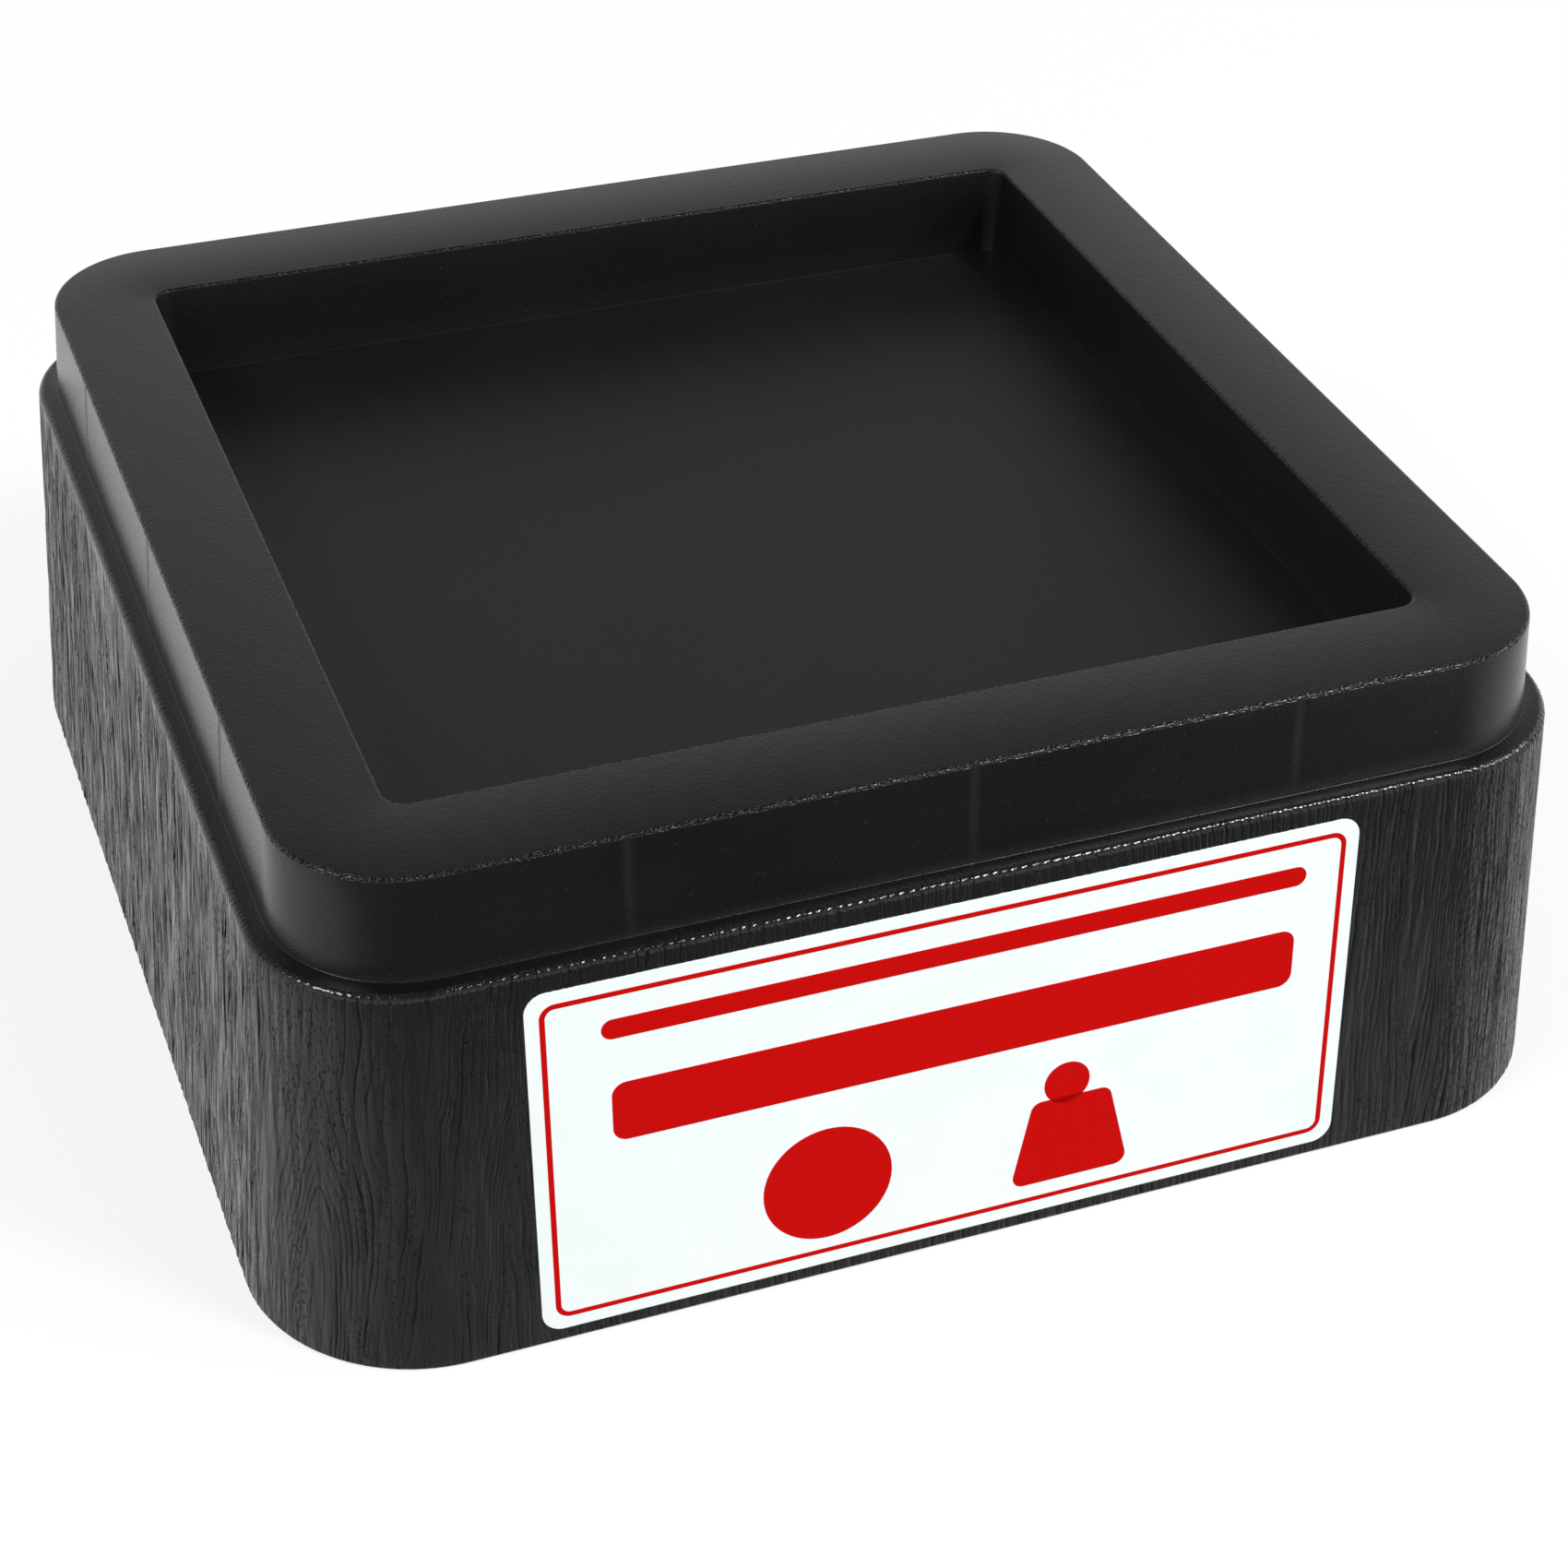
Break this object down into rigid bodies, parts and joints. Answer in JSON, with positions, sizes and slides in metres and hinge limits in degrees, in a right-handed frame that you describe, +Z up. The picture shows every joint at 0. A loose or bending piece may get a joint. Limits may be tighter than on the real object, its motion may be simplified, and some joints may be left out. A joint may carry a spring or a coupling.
{
  "type": "bed riser",
  "caption": "Square stackable furniture riser: drafted wood-grain skirt, collar round a square recess for the leg, hollow ribbed underside, blank label on the front.",
  "frame": {"origin": "centre of the foot, on the surface that the riser stands on", "axes": "+Z up out of the recess, the labelled front faces -Y, +X to the right seen from the front"},
  "size_m": [0.1888, 0.1888, 0.0732],
  "materials": {
    "black_plastic": "black moulded plastic, satin on collar and rim, fine wood-grain relief on the skirt",
    "label_film": "white adhesive film with a thin red keyline and plain red shapes"
  },
  "bodies": {
    "root": {"riser_body": "black_plastic", "front_label": "label_film"}
  },
  "joints": []
}
